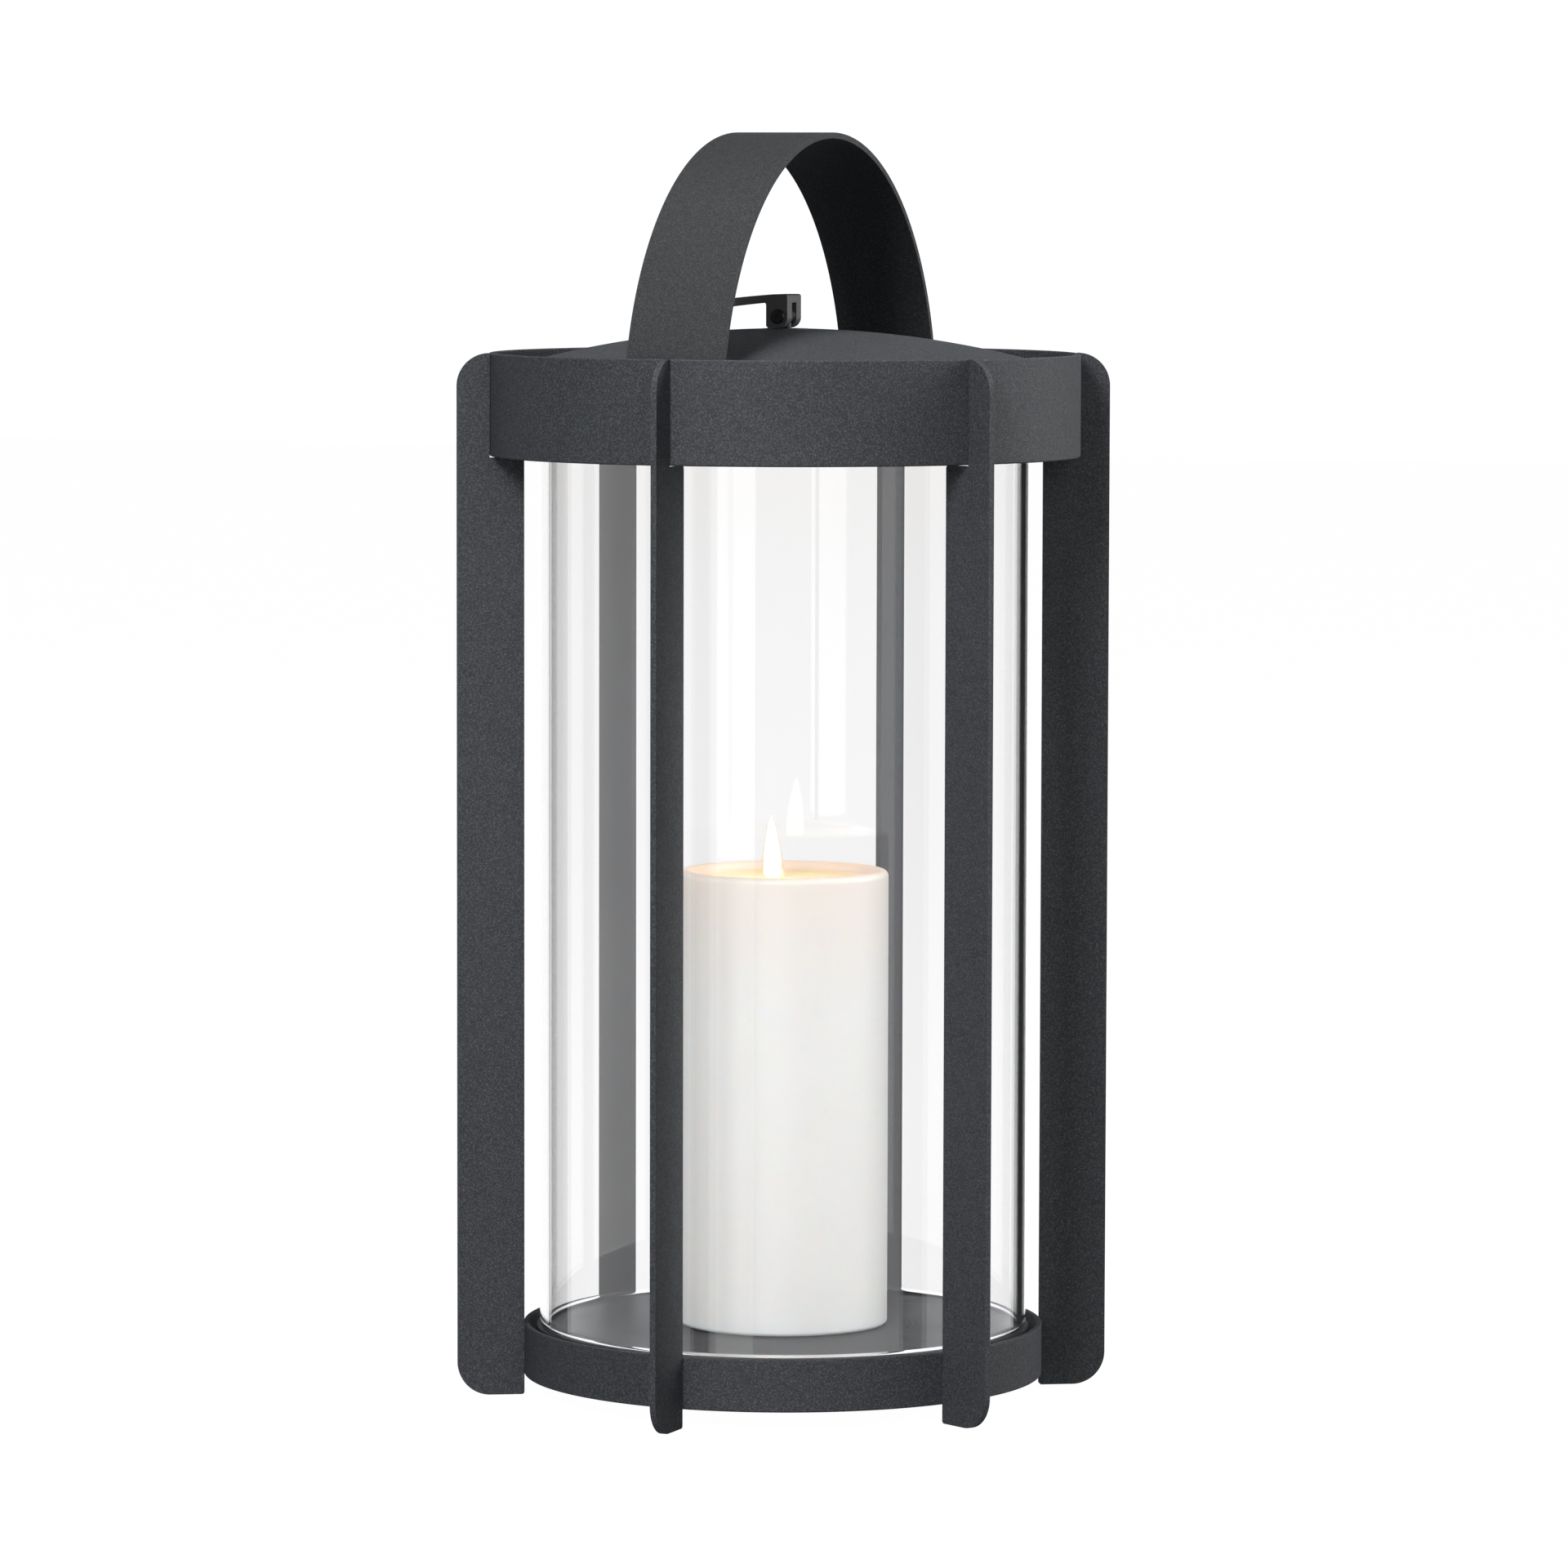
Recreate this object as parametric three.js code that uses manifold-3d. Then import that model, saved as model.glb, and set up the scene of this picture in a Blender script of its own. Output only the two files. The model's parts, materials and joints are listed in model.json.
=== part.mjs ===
// Candle lantern. Millimetres, +Z up, standing on its six feet at Z = 0, axis on the origin.
// The carrying handle arches over the lid in the YZ plane; the clamp lever points along -X.
import * as THREE from 'three';
import { mergeVertices } from 'three/addons/utils/BufferGeometryUtils.js';
import Module from 'manifold-3d';

const wasm = await Module();
wasm.setup();

// Shared
const GAP = 0.3;              // clearance between neighbouring pieces
const SHEET = 2.3;            // coated steel plate
const EDGE = 0.35;            // broken edge on plate and rings
const ROUND = 60;             // segments round the large rings

// Uprights: six flat plates set edge-on round the glass
const UPRIGHTS = 6;
const UPRIGHT_R_OUT = 125;
const UPRIGHT_R_IN = 99.5;
const UPRIGHT_CORNER = 12.5;
const UPRIGHT_FIRST_DEG = 30;

// Top band
const TOP_R = 112.3;
const TOP_WALL = 2.1;
const TOP_R_IN = TOP_R - TOP_WALL;
const TOP_Z0 = 358;
const TOP_Z1 = 397;
const LEDGE_Z = TOP_Z0 - 0.4; // step in each upright, just under the top band

// Bottom band, base plate and its brackets
const BASE_R = UPRIGHT_R_IN - GAP;
const BASE_WALL = 2.1;
const BASE_Z0 = 7;
const BASE_Z1 = 26.8;
const PLATE_R = 94.4;
const PLATE_Z1 = 26;
const PLATE_Z0 = PLATE_Z1 - SHEET;
const TABS = 3;
const TAB_WIDTH = 16;
const TAB_T = 2;
const TAB_R_OUT = 96.2;
const TAB_R_IN = 80;
const TAB_Z0 = 10;

// Glass and candle
const GLASS_R = 93;
const GLASS_WALL = 3;
const GLASS_Z0 = PLATE_Z1 + GAP;
const GLASS_Z1 = GLASS_Z0 + 338;
const CANDLE_R = 40;
const CANDLE_Z0 = PLATE_Z1 + GAP;
const CANDLE_Z1 = 200.3;
const WICK_R = 0.9;
const POOL_DEPTH = 3.4;
const WICK_BEND_Z = CANDLE_Z1 - POOL_DEPTH;
const WICK_TOP = CANDLE_Z1 + 5.5;
const WICK_LEAN = 3.6;        // how far the tip leans off the axis
const WICK_LEAN_DEG = 202;    // and in which direction

// Lid: shallow dome with a flat seat in the middle and a short skirt
const DOME_TOP = 406.3;
const DOME_R = 380;
const LID_T = 1.8;
const LID_R = 103.6;
const SEAT_R = 9.6;
const SEAT_Z = 405.2;
const SKIRT_Z0 = 371.5;
const STUD_R = 2.4;
const STUD_HOLE_R = STUD_R + 0.5;

// Handle: flat strap, half round with straight legs that stand inside the top band
const HANDLE_WIDTH = 39;
const HANDLE_TOP = 480.4;
const HANDLE_R = Math.sqrt((TOP_R_IN - GAP) ** 2 - (HANDLE_WIDTH / 2) ** 2);
const HANDLE_ZC = HANDLE_TOP - HANDLE_R;
const HANDLE_Z0 = LEDGE_Z + GAP;
const RIVET_X = 9;
const RIVET_Z = 377;
const RIVET_SHANK_R = 1.8;

// Lever clamp in the middle of the lid
const WASHER_Z0 = SEAT_Z + GAP;
const WASHER_Z1 = WASHER_Z0 + 0.8;
const WASHER_R = 8.8;
const CAM_CLOSED = 4.4;       // pin to washer with the arm down
const CAM_DROP = 0.7;         // how much nearer it comes when the arm stands up
const PIN_Z = WASHER_Z1 + 0.2 + CAM_CLOSED;
const PIN_R = 1.6;
const LEVER_WIDTH = 13.8;
const LEVER_TOP = 8.4;
const LEVER_BACK = -5;
const SLOT_WIDTH = 4.5;
const ARM_LENGTH = 46;
const ARM_T = 2.8;
const EYE_R = 3.4;
const EYE_T = 3.9;
const SPRING_HALF = 106;
const SPRING_Z = 376;         // middle of the bowed spring
const SPRING_RISE = 8.5;
const SPRING_T = 1;
const SPRING_WIDTH = 12;
const PAD_WIDTH = 15;
const PAD_Z0 = 380.5;
const PAD_Z1 = 388.5;
const PAD_X0 = 101;
const NUT_Z1 = SPRING_Z - SPRING_T / 2 - GAP;
const NUT_H = 4.5;
const NUT_R = 4.6;
const STUD_Z0 = NUT_Z1 - NUT_H - 2;

const coated = () => new THREE.MeshStandardMaterial({ color: 0x45494d, roughness: 0.62, metalness: 0.35 });
const plateSteel = () => new THREE.MeshStandardMaterial({ color: 0x55585a, roughness: 0.4, metalness: 0.6 });
const brightSteel = () => new THREE.MeshStandardMaterial({ color: 0xb9bcbe, roughness: 0.3, metalness: 1 });
const darkSteel = () => new THREE.MeshStandardMaterial({ color: 0x2f3133, roughness: 0.4, metalness: 0.9 });
const blackPlastic = () => new THREE.MeshStandardMaterial({ color: 0x1b1c1e, roughness: 0.55, metalness: 0 });
const rubber = () => new THREE.MeshStandardMaterial({ color: 0x2a2a2b, roughness: 0.85, metalness: 0 });
const wax = () => new THREE.MeshStandardMaterial({ color: 0xf0ece0, roughness: 0.5, metalness: 0 });
const cotton = () => new THREE.MeshStandardMaterial({ color: 0x2b241f, roughness: 0.95, metalness: 0 });
const clearGlass = () => new THREE.MeshStandardMaterial({
  color: 0xf4f6f5, roughness: 0.04, metalness: 0, transparent: true, opacity: 0.2,
});

const lantern = new THREE.Group();
lantern.name = 'candle_lantern';

function add(name, geometry, material) {
  const mesh = new THREE.Mesh(geometry, material);
  mesh.name = name;
  lantern.add(mesh);
}

// A three.js geometry as a solid that can be joined or cut.
function solid(geometry) {
  const bare = geometry.clone();
  bare.deleteAttribute('normal');
  bare.deleteAttribute('uv');
  const merged = mergeVertices(bare, 1e-4);
  return new wasm.Manifold(new wasm.Mesh({
    numProp: 3,
    vertProperties: new Float32Array(merged.attributes.position.array),
    triVerts: new Uint32Array(merged.index.array),
  }));
}

function surface(body) {
  const mesh = body.getMesh();
  const geometry = new THREE.BufferGeometry();
  geometry.setAttribute('position', new THREE.BufferAttribute(new Float32Array(mesh.vertProperties), 3));
  geometry.setIndex(new THREE.BufferAttribute(new Uint32Array(mesh.triVerts), 1));
  geometry.computeVertexNormals();
  return geometry;
}

function cut(geometry, ...tools) {
  let body = solid(geometry);
  for (const tool of tools) {
    body = body.subtract(solid(tool));
  }
  return surface(body);
}

function join(...geometries) {
  let body = solid(geometries[0]);
  for (const geometry of geometries.slice(1)) {
    body = body.add(solid(geometry));
  }
  return surface(body);
}

// Turn an outline of [radius, height] pairs, listed anticlockwise, about the Z axis.
function turned(outline, segments = ROUND) {
  const points = outline.map(([r, z]) => new THREE.Vector2(r, z));
  if (outline[0][0] > 0) {
    points.push(points[0].clone());
  }
  const geometry = new THREE.LatheGeometry(points, segments);
  geometry.rotateX(Math.PI / 2);
  return geometry;
}

// A hoop of rectangular section with broken edges.
function hoop(rIn, rOut, z0, z1, segments = ROUND, edge = EDGE) {
  return turned([
    [rIn + edge, z0], [rOut - edge, z0], [rOut, z0 + edge], [rOut, z1 - edge],
    [rOut - edge, z1], [rIn + edge, z1], [rIn, z1 - edge], [rIn, z0 + edge],
  ], segments);
}

// Plate of the given outline, thickness centred on its own plane, with broken edges.
function plate(shape, thickness, edge = EDGE, curveSegments = 7) {
  const geometry = new THREE.ExtrudeGeometry(shape, {
    depth: thickness - 2 * edge,
    bevelEnabled: edge > 0,
    bevelThickness: edge,
    bevelSize: edge,
    bevelOffset: -edge,
    bevelSegments: 1,
    curveSegments,
  });
  geometry.translate(0, 0, -(thickness - 2 * edge) / 2);
  return geometry;
}

// Outline drawn in X and Z, thickness along Y.
function standXZ(geometry) {
  return geometry.rotateX(Math.PI / 2);
}

// Outline drawn in Y and Z, thickness along X.
function standYZ(geometry) {
  const basis = new THREE.Matrix4().makeBasis(
    new THREE.Vector3(0, 1, 0),
    new THREE.Vector3(0, 0, 1),
    new THREE.Vector3(1, 0, 0),
  );
  return geometry.applyMatrix4(basis);
}

function box(x0, x1, y0, y1, z0, z1) {
  const geometry = new THREE.BoxGeometry(x1 - x0, y1 - y0, z1 - z0);
  geometry.translate((x0 + x1) / 2, (y0 + y1) / 2, (z0 + z1) / 2);
  return geometry;
}

// Round bar along Z.
function bar(radius, z0, z1, segments = 24) {
  const geometry = new THREE.CylinderGeometry(radius, radius, z1 - z0, segments);
  geometry.rotateX(Math.PI / 2);
  geometry.translate(0, 0, (z0 + z1) / 2);
  return geometry;
}

function domeHeight(radius, offset = 0) {
  const r = DOME_R - offset;
  return DOME_TOP - DOME_R + Math.sqrt(r * r - radius * radius);
}

function makeTopBand() {
  return hoop(TOP_R_IN, TOP_R, TOP_Z0, TOP_Z1);
}

function makeBottomBand() {
  return hoop(BASE_R - BASE_WALL, BASE_R, BASE_Z0, BASE_Z1);
}

function makeBasePlate() {
  return turned([
    [0, PLATE_Z0], [PLATE_R - EDGE, PLATE_Z0], [PLATE_R, PLATE_Z0 + EDGE],
    [PLATE_R, PLATE_Z1 - EDGE], [PLATE_R - EDGE, PLATE_Z1], [0, PLATE_Z1],
  ]);
}

// Bent bracket: one leg up the inside of the bottom band, one leg under the plate.
function makeBaseTab() {
  const top = PLATE_Z0 - GAP;
  const shape = new THREE.Shape();
  shape.moveTo(TAB_R_OUT - TAB_T, TAB_Z0);
  shape.lineTo(TAB_R_OUT, TAB_Z0);
  shape.lineTo(TAB_R_OUT, top - 2);
  shape.absarc(TAB_R_OUT - 2, top - 2, 2, 0, Math.PI / 2, false);
  shape.lineTo(TAB_R_IN, top);
  shape.lineTo(TAB_R_IN, top - TAB_T);
  shape.lineTo(TAB_R_OUT - TAB_T, top - TAB_T);
  shape.closePath();
  return standXZ(plate(shape, TAB_WIDTH, 0.25, 4));
}

// Upright: narrow inside the top band's foot, wider outside it, round outer corners.
function makeUpright() {
  const c = UPRIGHT_CORNER;
  const shape = new THREE.Shape();
  shape.moveTo(UPRIGHT_R_IN, 0);
  shape.lineTo(UPRIGHT_R_OUT - c, 0);
  shape.absarc(UPRIGHT_R_OUT - c, c, c, -Math.PI / 2, 0, false);
  shape.lineTo(UPRIGHT_R_OUT, TOP_Z1 - c);
  shape.absarc(UPRIGHT_R_OUT - c, TOP_Z1 - c, c, 0, Math.PI / 2, false);
  shape.lineTo(TOP_R + GAP, TOP_Z1 - 0.1);
  shape.lineTo(TOP_R + GAP, LEDGE_Z);
  shape.lineTo(UPRIGHT_R_IN, LEDGE_Z);
  shape.closePath();
  return standXZ(plate(shape, SHEET));
}

function makeGlass() {
  return hoop(GLASS_R - GLASS_WALL, GLASS_R, GLASS_Z0, GLASS_Z1, ROUND, 0.6);
}

// Pillar candle with rounded edges, a shallow melt pool and the wick's bore down the middle.
function makeCandle() {
  const bore = WICK_R + GAP;
  return turned([
    [bore, CANDLE_Z0], [CANDLE_R - 1.2, CANDLE_Z0], [CANDLE_R, CANDLE_Z0 + 1.2],
    [CANDLE_R, CANDLE_Z1 - 2.4], [CANDLE_R - 0.7, CANDLE_Z1 - 0.7], [CANDLE_R - 2.4, CANDLE_Z1],
    [CANDLE_R - 5, CANDLE_Z1 - 0.3], [CANDLE_R - 7.5, CANDLE_Z1 - 2.2],
    [CANDLE_R - 11, CANDLE_Z1 - POOL_DEPTH + 0.2], [bore, CANDLE_Z1 - POOL_DEPTH],
  ], 48);
}

// Wick: straight up through the candle, its tip leaning over above the melt pool.
function makeWick() {
  const lean = new THREE.CatmullRomCurve3([
    new THREE.Vector3(0, 0, WICK_BEND_Z - 1),
    new THREE.Vector3(0, 0, WICK_BEND_Z),
    new THREE.Vector3(WICK_LEAN * 0.3, 0, WICK_BEND_Z + 4),
    new THREE.Vector3(WICK_LEAN, 0, WICK_TOP),
  ]);
  const section = new THREE.Shape();
  section.absarc(0, 0, WICK_R, 0, 2 * Math.PI, false);
  const tip = new THREE.ExtrudeGeometry(section, { extrudePath: lean, steps: 8, curveSegments: 6 });
  const wick = join(bar(WICK_R, CANDLE_Z0 + GAP, WICK_BEND_Z - 0.5, 12), tip);
  return wick.rotateZ(THREE.MathUtils.degToRad(WICK_LEAN_DEG));
}

function makeLid() {
  const outer = [];
  const inner = [];
  const steps = 6;
  for (let i = 0; i <= steps; i++) {
    const t = i / steps;
    const rOut = SEAT_R + 1 + (LID_R - 1 - SEAT_R - 1) * t;
    const rIn = SEAT_R + 1.2 + (LID_R - LID_T - 1 - SEAT_R - 1.2) * t;
    outer.push([rOut, domeHeight(rOut)]);
    inner.push([rIn, domeHeight(rIn, LID_T)]);
  }
  const shoulder = domeHeight(LID_R) - 0.9;
  const outline = [
    [STUD_HOLE_R, SEAT_Z - LID_T],
    [SEAT_R + 0.2, SEAT_Z - LID_T],
    ...inner,
    [LID_R - LID_T, shoulder - LID_T],
    [LID_R - LID_T, SKIRT_Z0],
    [LID_R, SKIRT_Z0],
    [LID_R, shoulder],
    ...outer.reverse(),
    [SEAT_R, SEAT_Z],
    [STUD_HOLE_R, SEAT_Z],
  ];
  const tools = [];
  for (const side of [-1, 1]) {
    const reach = side * (LID_R - 6);
    const far = side * (LID_R + 6);
    const half = PAD_WIDTH / 2 + 1;
    tools.push(box(Math.min(reach, far), Math.max(reach, far), -half, half, SKIRT_Z0 - 5, PAD_Z1 + 0.7));
  }
  for (const place of rivetPlaces()) {
    tools.push(makeRivet(place, GAP));
  }
  return cut(turned(outline), ...tools);
}

function makeHandle() {
  const inner = HANDLE_R - SHEET;
  const shape = new THREE.Shape();
  shape.moveTo(inner, HANDLE_Z0);
  shape.lineTo(HANDLE_R, HANDLE_Z0);
  shape.lineTo(HANDLE_R, HANDLE_ZC);
  shape.absarc(0, HANDLE_ZC, HANDLE_R, 0, Math.PI, false);
  shape.lineTo(-HANDLE_R, HANDLE_Z0);
  shape.lineTo(-inner, HANDLE_Z0);
  shape.lineTo(-inner, HANDLE_ZC);
  shape.absarc(0, HANDLE_ZC, inner, Math.PI, 0, true);
  shape.closePath();
  const strap = standYZ(plate(shape, HANDLE_WIDTH, EDGE, 36));
  const holes = rivetPlaces().map((place) => makeRivet(place, 0.25));
  return cut(strap, ...holes);
}

function rivetPlaces() {
  return [[-RIVET_X, 1], [RIVET_X, 1], [-RIVET_X, -1], [RIVET_X, -1]];
}

// Rivet along Y: flush countersunk head outside the handle leg, low round head inside the skirt.
function makeRivet([x, side], ease = 0) {
  const face = HANDLE_R + (ease > 0 ? 1 : 0);
  const back = LID_R - LID_T - 1;
  const head = RIVET_SHANK_R + ease;
  const sink = 1.2 + face - HANDLE_R;
  const inside = ease > 0 ? [[0, back - 1.3], [head, back - 1.3]]
    : [[0, back - 1.4], [2.2, back - 1.2], [3.1, back - 0.5], [3.1, back], [head, back]];
  const outline = [
    ...inside,
    [head, HANDLE_R - 1.2],
    [head + sink, face],
    [0, face],
  ];
  const geometry = turned(outline, 14);
  geometry.rotateX(side > 0 ? -Math.PI / 2 : Math.PI / 2);
  geometry.translate(x, 0, 0);
  geometry.translate(0, 0, RIVET_Z);
  return geometry;
}

function makeWasher() {
  return hoop(STUD_HOLE_R, WASHER_R, WASHER_Z0, WASHER_Z1, 28, 0.1);
}

// Eye stud: flat eye round the lever's pin and a round shank down through the lid and the spring.
function makeStud() {
  const eye = new THREE.CylinderGeometry(EYE_R, EYE_R, EYE_T, 28);
  eye.translate(0, 0, PIN_Z);
  const shank = bar(STUD_R, STUD_Z0, PIN_Z - 2.2, 20);
  const room = box(-20, 20, -EYE_T / 2, EYE_T / 2, WASHER_Z1 - 1, PIN_Z + 20);
  const neck = solid(shank).intersect(solid(room));
  const lower = solid(bar(STUD_R, STUD_Z0, WASHER_Z1 - 1, 20));
  const bore = new THREE.CylinderGeometry(PIN_R + GAP, PIN_R + GAP, 8, 20);
  bore.translate(0, 0, PIN_Z);
  return surface(solid(eye).add(neck).add(lower).subtract(solid(bore)));
}

function springHeight(x) {
  return SPRING_Z + SPRING_RISE * (x / SPRING_HALF) ** 2;
}

// Bowed leaf spring across the lid, low in the middle where the stud pulls it.
function makeSpring() {
  const shape = new THREE.Shape();
  const steps = 24;
  for (let i = 0; i <= steps; i++) {
    const x = -SPRING_HALF + (2 * SPRING_HALF * i) / steps;
    const z = springHeight(x) - SPRING_T / 2;
    if (i === 0) {
      shape.moveTo(x, z);
    } else {
      shape.lineTo(x, z);
    }
  }
  for (let i = steps; i >= 0; i--) {
    const x = -SPRING_HALF + (2 * SPRING_HALF * i) / steps;
    shape.lineTo(x, springHeight(x) + SPRING_T / 2);
  }
  shape.closePath();
  const leaf = standXZ(plate(shape, SPRING_WIDTH, 0));
  return cut(leaf, bar(STUD_R + GAP, SPRING_Z - 5, SPRING_Z + 5, 20));
}

// Pad on one end of the spring, its outer face shaped to the inside of the top band.
function makePad(side) {
  const r = TOP_R_IN - GAP;
  const half = PAD_WIDTH / 2;
  const swing = Math.asin(half / r);
  const shape = new THREE.Shape();
  shape.moveTo(PAD_X0, -half);
  shape.absarc(0, 0, r, -swing, swing, false);
  shape.lineTo(PAD_X0, half);
  shape.closePath();
  const body = plate(shape, PAD_Z1 - PAD_Z0, 0.4, 6);
  body.translate(0, 0, (PAD_Z0 + PAD_Z1) / 2);
  const z = springHeight(SPRING_HALF - 2.5);
  const room = SPRING_WIDTH / 2 + GAP;
  const pocket = box(PAD_X0 - 2, SPRING_HALF + 0.4, -room, room, z - 1.2, z + 1.1);
  const pad = cut(body, pocket);
  if (side < 0) {
    pad.rotateZ(Math.PI);
  }
  return pad;
}

function makeNut() {
  const nut = new THREE.CylinderGeometry(NUT_R, NUT_R, NUT_H, 6);
  nut.rotateX(Math.PI / 2);
  nut.translate(0, 0, NUT_Z1 - NUT_H / 2);
  return cut(nut, bar(STUD_R + 0.2, NUT_Z1 - NUT_H - 1, NUT_Z1 + 1, 20));
}

function armHeight(x) {
  return LEVER_TOP - 0.075 * x - 0.0012 * x * x;
}

// Lever outline about its pin: the cam's radius shrinks evenly over the quarter turn from down to +X.
function leverShape() {
  const shape = new THREE.Shape();
  const front = CAM_CLOSED - CAM_DROP;
  shape.moveTo(LEVER_BACK + 0.8, -CAM_CLOSED);
  for (let i = 0; i <= 12; i++) {
    const turn = (Math.PI / 2) * (i / 12);
    const r = CAM_CLOSED - CAM_DROP * (i / 12);
    shape.lineTo(r * Math.sin(turn), -r * Math.cos(turn));
  }
  shape.lineTo(front, LEVER_TOP - 1);
  shape.absarc(front - 1, LEVER_TOP - 1, 1, 0, Math.PI / 2, false);
  for (let i = 0; i <= 10; i++) {
    const x = 2 + ((ARM_LENGTH - 3.4) * i) / 10;
    shape.lineTo(-x, armHeight(x - 2));
  }
  const tip = ARM_LENGTH - 1.4;
  const tipZ = armHeight(tip - 2) - ARM_T / 2;
  shape.absarc(-tip, tipZ, ARM_T / 2 - 0.1, Math.PI * 0.6, Math.PI * 1.35, false);
  for (let i = 9; i >= 1; i--) {
    const x = 2 + ((ARM_LENGTH - 3.4) * i) / 10;
    shape.lineTo(-x, armHeight(x - 2) - ARM_T);
  }
  shape.lineTo(LEVER_BACK, armHeight(3) - ARM_T - 1.2);
  shape.lineTo(LEVER_BACK, -CAM_CLOSED + 0.8);
  shape.closePath();
  return shape;
}

function makeLever() {
  const body = standXZ(plate(leverShape(), LEVER_WIDTH, 0.4, 5));
  const slot = box(-EYE_R - 0.5, 20, -SLOT_WIDTH / 2, SLOT_WIDTH / 2, -20, 5.2);
  const bore = new THREE.CylinderGeometry(PIN_R + 0.15, PIN_R + 0.15, 30, 20);
  const lever = cut(body, slot, bore);
  lever.translate(0, 0, PIN_Z);
  return lever;
}

// Pin along Y with a low head on each end; the -Y head has a hexagon socket.
function makePin() {
  const near = LEVER_WIDTH / 2 + 0.15;
  const far = near + 1;
  const pin = turned([
    [0, -far], [2.2, -far], [2.65, -far + 0.35], [2.65, -near], [PIN_R, -near],
    [PIN_R, near], [2.65, near], [2.65, far - 0.35], [2.2, far], [0, far],
  ], 24);
  pin.rotateX(-Math.PI / 2);
  const socket = new THREE.CylinderGeometry(1.3, 1.3, 1.6, 6);
  socket.translate(0, -far, 0);
  const piece = cut(pin, socket);
  piece.translate(0, 0, PIN_Z);
  return piece;
}

add('top_band', makeTopBand(), coated());
add('bottom_band', makeBottomBand(), coated());
add('base_plate', makeBasePlate(), plateSteel());

for (let i = 0; i < TABS; i++) {
  const tab = makeBaseTab();
  tab.rotateZ((i * 2 * Math.PI) / TABS);
  add(`base_tab_${i + 1}`, tab, plateSteel());
}

for (let i = 0; i < UPRIGHTS; i++) {
  const upright = makeUpright();
  upright.rotateZ(THREE.MathUtils.degToRad(UPRIGHT_FIRST_DEG + (i * 360) / UPRIGHTS));
  add(`upright_${i + 1}`, upright, coated());
}

add('glass_cylinder', makeGlass(), clearGlass());
add('candle', makeCandle(), wax());
add('wick', makeWick(), cotton());
add('lid', makeLid(), coated());
add('handle', makeHandle(), coated());

rivetPlaces().forEach((place, i) => add(`handle_rivet_${i + 1}`, makeRivet(place), coated()));

add('latch_washer', makeWasher(), blackPlastic());
add('latch_stud', makeStud(), brightSteel());
add('clamp_spring', makeSpring(), brightSteel());
add('clamp_pad_1', makePad(1), rubber());
add('clamp_pad_2', makePad(-1), rubber());
add('latch_nut', makeNut(), brightSteel());
add('latch_lever', makeLever(), blackPlastic());
add('lever_pin', makePin(), darkSteel());

export default lantern;
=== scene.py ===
"""Candle lantern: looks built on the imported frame. Metres, +Z up, row frame."""

import json
import math

import bmesh
import bpy
from mathutils import Matrix, Vector

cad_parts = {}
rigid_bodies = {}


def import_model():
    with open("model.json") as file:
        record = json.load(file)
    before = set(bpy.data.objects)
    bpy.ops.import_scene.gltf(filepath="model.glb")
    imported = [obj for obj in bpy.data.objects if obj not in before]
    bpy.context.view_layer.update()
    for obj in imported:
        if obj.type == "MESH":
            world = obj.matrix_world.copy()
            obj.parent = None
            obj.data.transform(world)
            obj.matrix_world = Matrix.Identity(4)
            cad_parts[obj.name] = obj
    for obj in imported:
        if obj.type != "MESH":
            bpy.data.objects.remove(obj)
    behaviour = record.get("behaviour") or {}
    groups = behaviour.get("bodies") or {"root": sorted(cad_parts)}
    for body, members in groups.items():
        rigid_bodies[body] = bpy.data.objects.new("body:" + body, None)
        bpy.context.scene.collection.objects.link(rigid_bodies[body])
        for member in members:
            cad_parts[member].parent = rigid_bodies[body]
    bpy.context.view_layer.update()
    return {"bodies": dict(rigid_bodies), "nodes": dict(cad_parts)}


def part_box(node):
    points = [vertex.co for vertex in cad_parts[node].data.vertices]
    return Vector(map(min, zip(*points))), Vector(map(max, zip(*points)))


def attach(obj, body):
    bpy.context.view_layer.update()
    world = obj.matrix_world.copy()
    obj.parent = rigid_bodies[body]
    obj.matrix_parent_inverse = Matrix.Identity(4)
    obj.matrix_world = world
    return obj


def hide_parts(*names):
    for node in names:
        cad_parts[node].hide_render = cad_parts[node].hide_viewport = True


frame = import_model()

MM = 0.001


# ---------------------------------------------------------------- sizes, read from the frame

TOP_LOW, TOP_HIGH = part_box("top_band")
BASE_LOW, BASE_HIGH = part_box("bottom_band")
PLATE_LOW, PLATE_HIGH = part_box("base_plate")
GLASS_LOW, GLASS_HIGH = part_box("glass_cylinder")
CANDLE_LOW, CANDLE_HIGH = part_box("candle")
WICK_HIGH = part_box("wick")[1]
LID_LOW, LID_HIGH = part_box("lid")
HANDLE_LOW, HANDLE_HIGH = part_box("handle")
FIN_LOW, FIN_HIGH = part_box("upright_2")
LEVER_LOW, LEVER_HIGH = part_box("latch_lever")
PIN_LOW, PIN_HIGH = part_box("lever_pin")
WASHER_LOW, WASHER_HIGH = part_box("latch_washer")

TOP_R = TOP_HIGH.x
BASE_R = BASE_HIGH.x
BAND_WALL = 2.1 * MM
BAND_EDGE = 0.6 * MM
PLATE_R = PLATE_HIGH.x
PLATE_EDGE = 0.7 * MM
GLASS_R = GLASS_HIGH.x
GLASS_WALL = 3 * MM
GLASS_EDGE = 1.4 * MM
CANDLE_R = CANDLE_HIGH.x
CANDLE_BORE = 1.2 * MM
CANDLE_FOOT_EDGE = 1.5 * MM
CANDLE_RIM_EDGE = 2.4 * MM
POOL_DEPTH = 3.4 * MM
POOL_Z = CANDLE_HIGH.z - POOL_DEPTH
SHEET = FIN_HIGH.x - FIN_LOW.x
SHEET_EDGE = 0.45 * MM
FIN_R_OUT = FIN_HIGH.y
FIN_R_IN = FIN_LOW.y
FIN_CORNER = 12.5 * MM
FIN_TIP = 1.0 * MM
FIN_GAP = 0.3 * MM
LEDGE_Z = TOP_LOW.z - 0.4 * MM
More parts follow.
